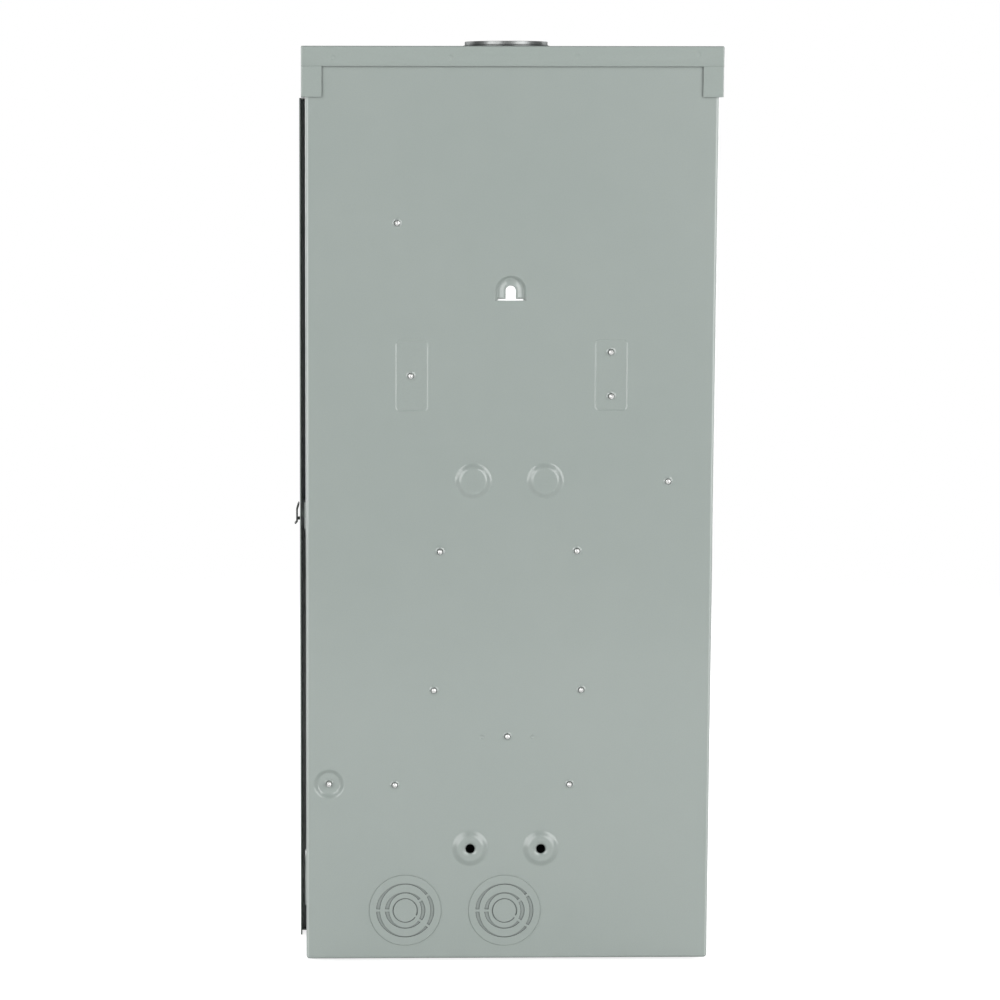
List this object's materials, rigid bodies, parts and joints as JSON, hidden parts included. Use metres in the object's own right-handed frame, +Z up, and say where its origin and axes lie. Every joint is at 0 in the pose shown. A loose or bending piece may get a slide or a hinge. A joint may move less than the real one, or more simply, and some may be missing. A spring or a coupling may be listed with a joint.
{
  "type": "outdoor residential load center",
  "caption": "Wall-mounted outdoor load center: folded steel box with rain hood, side-hinged door, dead front, main and branch breakers, bus, neutral and ground bars.",
  "frame": {"origin": "middle of the back sheet's outer face", "axes": "+Z up, +Y out of the back towards the wall, the door faces -Y, +X to the latch side"},
  "size_m": [0.3831, 0.1294, 0.8244],
  "materials": {
    "grey_paint": "satin",
    "zinc": "bright zinc plate",
    "screw_steel": "zinc plate",
    "galvanised_steel": "spangled",
    "insulator": "moulded",
    "tinned_bus": "tin plated",
    "aluminium": "extruded",
    "white_foam": "closed-cell foam",
    "breaker_case": "moulded",
    "breaker_toggle": "moulded",
    "filler_plastic": "moulded"
  },
  "bodies": {
    "root": {"box_body": "grey_paint", "top_cap": "grey_paint", "hinge_leaf_upper": "grey_paint", "hinge_leaf_lower": "grey_paint", "latch_keeper": "grey_paint", "deadfront": "grey_paint", "hub_closing_plate": "zinc", "hub_clamp_bar": "zinc", "hub_bolt": "zinc", "hinge_pin_upper": "zinc", "hinge_pin_lower": "zinc", "bonding_strap": "zinc", "deadfront_screw_1": "zinc", "deadfront_screw_2": "zinc", "deadfront_screw_3": "zinc", "deadfront_screw_4": "zinc", "neutral_lug_screw": "screw_steel", "main_base_screw_right": "screw_steel", "main_base_screw_left_upper": "screw_steel", "main_base_screw_left_lower": "screw_steel", "bonding_screw": "screw_steel", "pan_screw_upper_right": "screw_steel", "pan_screw_upper_left": "screw_steel", "pan_screw_lower_right": "screw_steel", "pan_screw_lower_left": "screw_steel", "pan_screw_bottom": "screw_steel", "ground_bar_screw_right": "screw_steel", "ground_bar_screw_left": "screw_steel", "ground_lug_screw": "screw_steel", "interior_pan": "galvanised_steel", "interior_base": "insulator", "neutral_lug_stand": "insulator", "main_breaker_base": "insulator", "bus_bar_a": "tinned_bus", "bus_bar_b": "tinned_bus", "neutral_bar_right": "aluminium", "neutral_bar_left": "aluminium", "neutral_link": "aluminium", "neutral_lug": "aluminium", "ground_bar": "aluminium", "ground_lug": "aluminium", "keyhole_seal": "white_foam", "main_breaker": "breaker_case", "branch_breaker_1": "breaker_case", "branch_breaker_2": "breaker_case", "branch_breaker_3": "breaker_case", "branch_breaker_4": "breaker_case", "branch_breaker_5": "breaker_case", "branch_breaker_6": "breaker_case", "filler_plate_right": "filler_plastic", "filler_plate_left": "filler_plastic"},
    "door": {"door": "grey_paint"},
    "latch": {"door_latch": "grey_paint"},
    "main_handle": {"main_handle": "breaker_toggle"},
    "branch_handle_1": {"branch_handle_1": "breaker_toggle"},
    "branch_handle_2": {"branch_handle_2": "breaker_toggle"},
    "branch_handle_3": {"branch_handle_3": "breaker_toggle"},
    "branch_handle_4": {"branch_handle_4": "breaker_toggle"},
    "branch_handle_5": {"branch_handle_5": "breaker_toggle"},
    "branch_handle_6": {"branch_handle_6": "breaker_toggle"}
  },
  "joints": [
    {"name": "door_hinge", "type": "hinge", "parent": "root", "child": "door", "pos_m": [-0.1892, -0.1, 0], "axis": [0, 0, -1], "range_deg": [0, 165]},
    {"name": "latch_pivot", "type": "hinge", "parent": "door", "child": "latch", "pos_m": [0.1874, -0.106, -0.006], "axis": [0, -1, 0], "range_deg": [0, 25], "stiffness_Nm_per_rad": 0.4},
    {"name": "main_switch", "type": "hinge", "parent": "root", "child": "main_handle", "pos_m": [0, -0.082, 0.12], "axis": [0, 0, 1], "range_deg": [0, 32]},
    {"name": "branch_switch_1", "type": "hinge", "parent": "root", "child": "branch_handle_1", "pos_m": [0.046, -0.0845, 0.0146], "axis": [0, 0, 1], "range_deg": [0, 28]},
    {"name": "branch_switch_2", "type": "hinge", "parent": "root", "child": "branch_handle_2", "pos_m": [-0.046, -0.0845, 0.0146], "axis": [0, 0, -1], "range_deg": [0, 28]},
    {"name": "branch_switch_3", "type": "hinge", "parent": "root", "child": "branch_handle_3", "pos_m": [0.046, -0.0845, -0.0362], "axis": [0, 0, 1], "range_deg": [0, 28]},
    {"name": "branch_switch_4", "type": "hinge", "parent": "root", "child": "branch_handle_4", "pos_m": [-0.046, -0.0845, -0.0235], "axis": [0, 0, -1], "range_deg": [0, 28]},
    {"name": "branch_switch_5", "type": "hinge", "parent": "root", "child": "branch_handle_5", "pos_m": [-0.046, -0.0845, -0.0489], "axis": [0, 0, -1], "range_deg": [0, 28]},
    {"name": "branch_switch_6", "type": "hinge", "parent": "root", "child": "branch_handle_6", "pos_m": [0.046, -0.0845, -0.0743], "axis": [0, 0, 1], "range_deg": [0, 28]}
  ]
}
